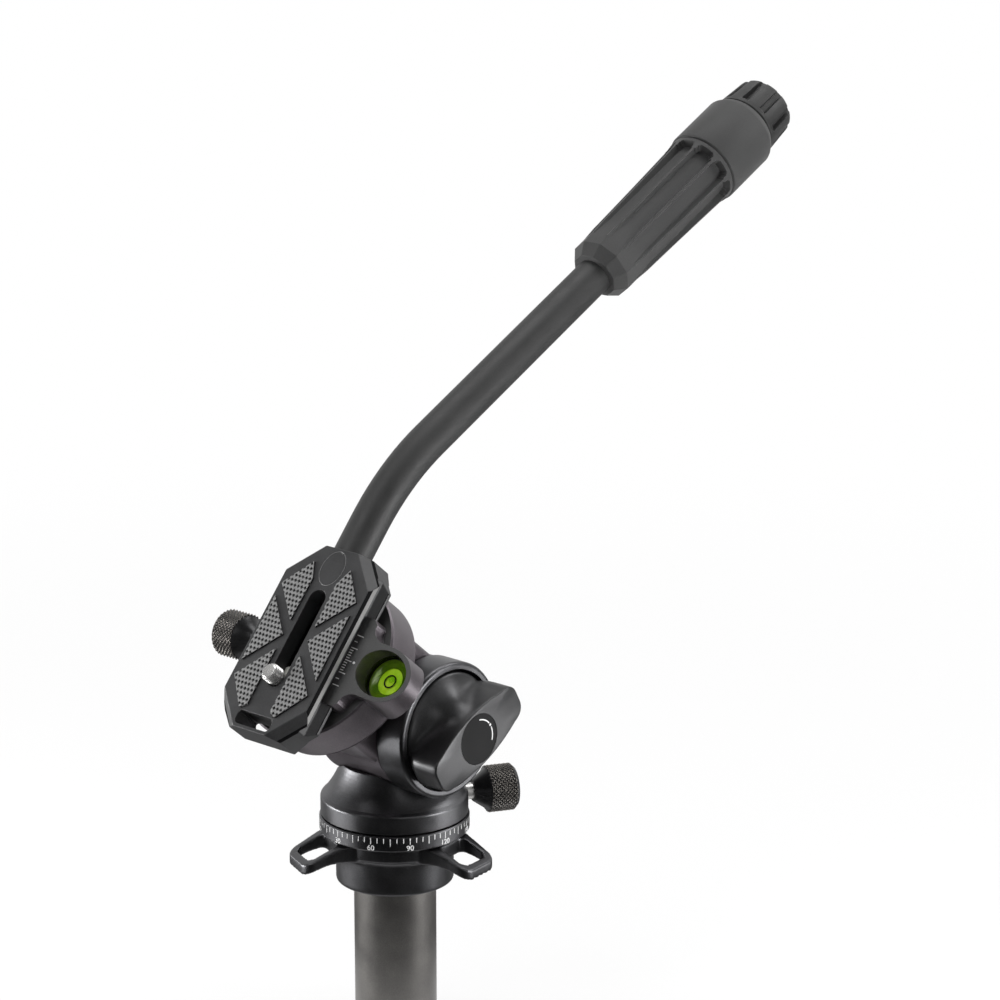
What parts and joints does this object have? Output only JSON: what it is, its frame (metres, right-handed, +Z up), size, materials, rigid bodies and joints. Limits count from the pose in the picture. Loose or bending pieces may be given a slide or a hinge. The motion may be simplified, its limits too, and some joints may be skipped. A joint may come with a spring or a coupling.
{
  "type": "fluid video head",
  "caption": "Compact fluid video head: tilting quick-release plate with bubble level, graduated pan base, lock knobs, bent pan handle with ribbed grip, strap-loop collar and short column.",
  "frame": {"origin": "centre of the column's lower end, on the pan axis", "axes": "+Z up along the pan axis; +X along the tilt axis towards the wing knob; -Y forwards (lens side), +Y towards the handle"},
  "size_m": [0.0823, 0.2844, 0.2908],
  "materials": {
    "black_anodised": "satin black anodised",
    "gunmetal": "satin dark anodised",
    "column_grey": "satin grey anodised",
    "steel": "turned",
    "hub_alloy": "machined",
    "brass": "turned",
    "washer_plastic": "moulded",
    "seal_rubber": "moulded",
    "friction_lining": "moulded",
    "knob_black": "diamond knurled, black anodised",
    "wing_black": "satin black",
    "grip_rubber": "matte moulded rubber",
    "pad_rubber": "pyramid texture",
    "level_fluid": "clear lime",
    "level_window": "clear"
  },
  "bodies": {
    "base": {"column_tube": "column_grey", "strap_collar": "black_anodised", "mount_stud": "steel", "base_disc": "black_anodised", "pan_hub": "hub_alloy", "hub_screws": "steel", "drag_washer": "washer_plastic"},
    "pan": {"pan_housing": "black_anodised", "hub_ring": "steel", "seal_ring": "seal_rubber", "tilt_axle": "steel", "axle_washer": "steel", "damper_rotor": "hub_alloy", "friction_disc": "friction_lining"},
    "pan_brake": {"pan_lock_screw": "steel", "pan_brake_pad": "brass"},
    "pan_lock": {"pan_lock_knob": "knob_black"},
    "tilt_lock": {"tilt_lock_knob": "wing_black", "tilt_lock_face": "wing_black", "tilt_lock_nut": "brass"},
    "tilt": {"tilt_body": "gunmetal", "tilt_bush": "brass", "bearing_plate": "brass", "damper_cup": "hub_alloy", "end_cover": "black_anodised", "cover_screws": "steel", "clamp_base": "gunmetal", "clamp_bolts": "steel", "guide_pins": "steel", "level_vial": "level_fluid", "level_lens": "level_window", "level_bubble": "level_window"},
    "jaw": {"clamp_jaw": "black_anodised"},
    "clamp_lock": {"clamp_knob": "knob_black", "clamp_screw": "steel"},
    "plate": {"camera_plate": "black_anodised", "grip_pads": "pad_rubber"},
    "screw_carrier": {"screw_washer": "washer_plastic"},
    "mount_screw": {"camera_screw": "steel"},
    "handle": {"handle_tube": "black_anodised", "handle_spigot": "steel", "grip_sleeve": "grip_rubber", "grip_end_knob": "grip_rubber"},
    "lock_nut": {"handle_nut": "knob_black"}
  },
  "joints": [
    {"name": "pan_turn", "type": "hinge", "parent": "base", "child": "pan", "pos_m": [0, 0, 0], "axis": [0, 0, 1], "continuous": true},
    {"name": "tilt_turn", "type": "hinge", "parent": "pan", "child": "tilt", "pos_m": [0, 0, 0.106], "axis": [1, 0, 0], "range_deg": [-108, 17]},
    {"name": "tilt_lock_turn", "type": "hinge", "parent": "pan", "child": "tilt_lock", "pos_m": [0.03, 0, 0.106], "axis": [1, 0, 0], "range_deg": [-60, 60]},
    {"name": "pan_lock_turn", "type": "hinge", "parent": "pan_brake", "child": "pan_lock", "pos_m": [0.01454, 0.02624, 0.0761], "axis": [0.4848, 0.8746, 0], "range_deg": [-180, 0]},
    {"name": "pan_brake_slide", "type": "slide", "parent": "pan", "child": "pan_brake", "axis": [-0.4848, -0.8746, 0], "range_m": [0, 0.0005]},
    {"name": "clamp_turn", "type": "hinge", "parent": "tilt", "child": "clamp_lock", "pos_m": [-0.03, -0.03343, 0.13261], "axis": [-1, 0, 0], "range_deg": [0, 720]},
    {"name": "jaw_slide", "type": "slide", "parent": "tilt", "child": "jaw", "axis": [-1, 0, 0], "range_m": [0, 0.0025]},
    {"name": "plate_slide", "type": "slide", "parent": "tilt", "child": "plate", "axis": [0, 0.6481, 0.7615], "range_m": [-0.012, 0.012]},
    {"name": "carrier_slide", "type": "slide", "parent": "plate", "child": "screw_carrier", "axis": [0, 0.6481, 0.7615], "range_m": [0, 0.02805]},
    {"name": "camera_screw_turn", "type": "hinge", "parent": "screw_carrier", "child": "mount_screw", "pos_m": [0, -0.05299, 0.13137], "axis": [0, -0.7615, 0.6481], "continuous": true},
    {"name": "handle_swivel", "type": "hinge", "parent": "tilt", "child": "handle", "pos_m": [-0.018, 0.00079, 0.15785], "axis": [0, 0.6481, 0.7615], "range_deg": [-90, 90]},
    {"name": "handle_nut_turn", "type": "hinge", "parent": "handle", "child": "lock_nut", "pos_m": [-0.018, 0.00079, 0.15785], "axis": [0, 0.6481, 0.7615], "range_deg": [-180, 180]}
  ],
  "couplings": [
    {"joint": "pan_brake_slide", "follows": "pan_lock_turn", "m_per_rad": -0.00015915},
    {"joint": "jaw_slide", "follows": "clamp_turn", "m_per_rad": 0.00019894}
  ]
}
